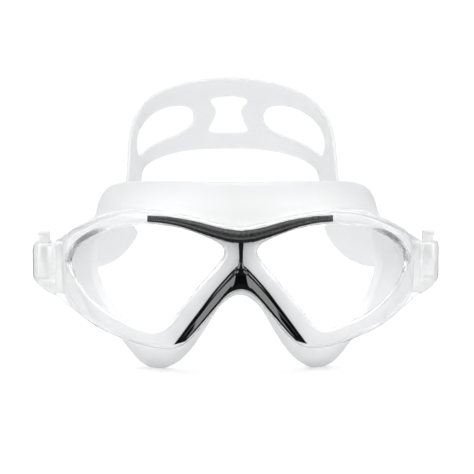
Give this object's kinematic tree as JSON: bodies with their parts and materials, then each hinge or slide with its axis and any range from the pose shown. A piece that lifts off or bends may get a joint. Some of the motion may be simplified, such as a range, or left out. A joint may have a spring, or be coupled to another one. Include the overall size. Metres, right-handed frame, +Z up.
{
  "type": "diving mask",
  "caption": "Clear wrap-round swim mask with two windows, soft silicone skirt, black brow and nose trims, push-tab buckles and a split head strap.",
  "frame": {"origin": "middle of the face seal: level with the seal's edge on the nose bridge, on the centreline, at half the height of the windows", "axes": "+X to the viewer's right across the mask, +Y from the lenses towards the wearer's head, +Z up"},
  "size_m": [0.2004, 0.1841, 0.145],
  "materials": {
    "clear_shell": "polished clear polycarbonate",
    "lens": "optical clear polycarbonate",
    "silicone": "milky translucent liquid silicone, satin",
    "gloss_black": "high gloss black",
    "satin_black": "satin black with fine ribs",
    "milky_plastic": "milky natural polymer, satin"
  },
  "bodies": {
    "mask": {"front_frame": "clear_shell", "retainer_frame": "clear_shell", "lens_left": "lens", "lens_right": "lens", "brow_trim": "satin_black", "nose_trim": "gloss_black", "skirt": "silicone", "pivot_pin_left": "clear_shell", "pivot_pin_right": "clear_shell"},
    "buckles": {"buckle_base_left": "clear_shell", "buckle_base_right": "clear_shell", "buckle_cover_left": "clear_shell", "buckle_cover_right": "clear_shell", "strap_post_left": "clear_shell", "strap_post_right": "clear_shell", "strap_band_left": "silicone", "strap_band_right": "silicone"},
    "strap_pad": {"strap_back": "silicone"},
    "button_left": {"release_button_left": "milky_plastic"},
    "button_right": {"release_button_right": "milky_plastic"}
  },
  "joints": [
    {"name": "strap_swing", "type": "hinge", "parent": "mask", "child": "buckles", "pos_m": [0, 0.026, 0.002], "axis": [1, 0, 0], "range_deg": [-40, 30]},
    {"name": "strap_stretch", "type": "slide", "parent": "buckles", "child": "strap_pad", "axis": [0, 0.8461, 0.5331], "range_m": [0, 0.03], "stiffness_N_per_m": 500},
    {"name": "press_left", "type": "slide", "parent": "buckles", "child": "button_left", "axis": [0, 0, -1], "range_m": [0, 0.0025], "stiffness_N_per_m": 400, "springref_m": -0.002},
    {"name": "press_right", "type": "slide", "parent": "buckles", "child": "button_right", "axis": [0, 0, -1], "range_m": [0, 0.0025], "stiffness_N_per_m": 400, "springref_m": -0.002}
  ]
}
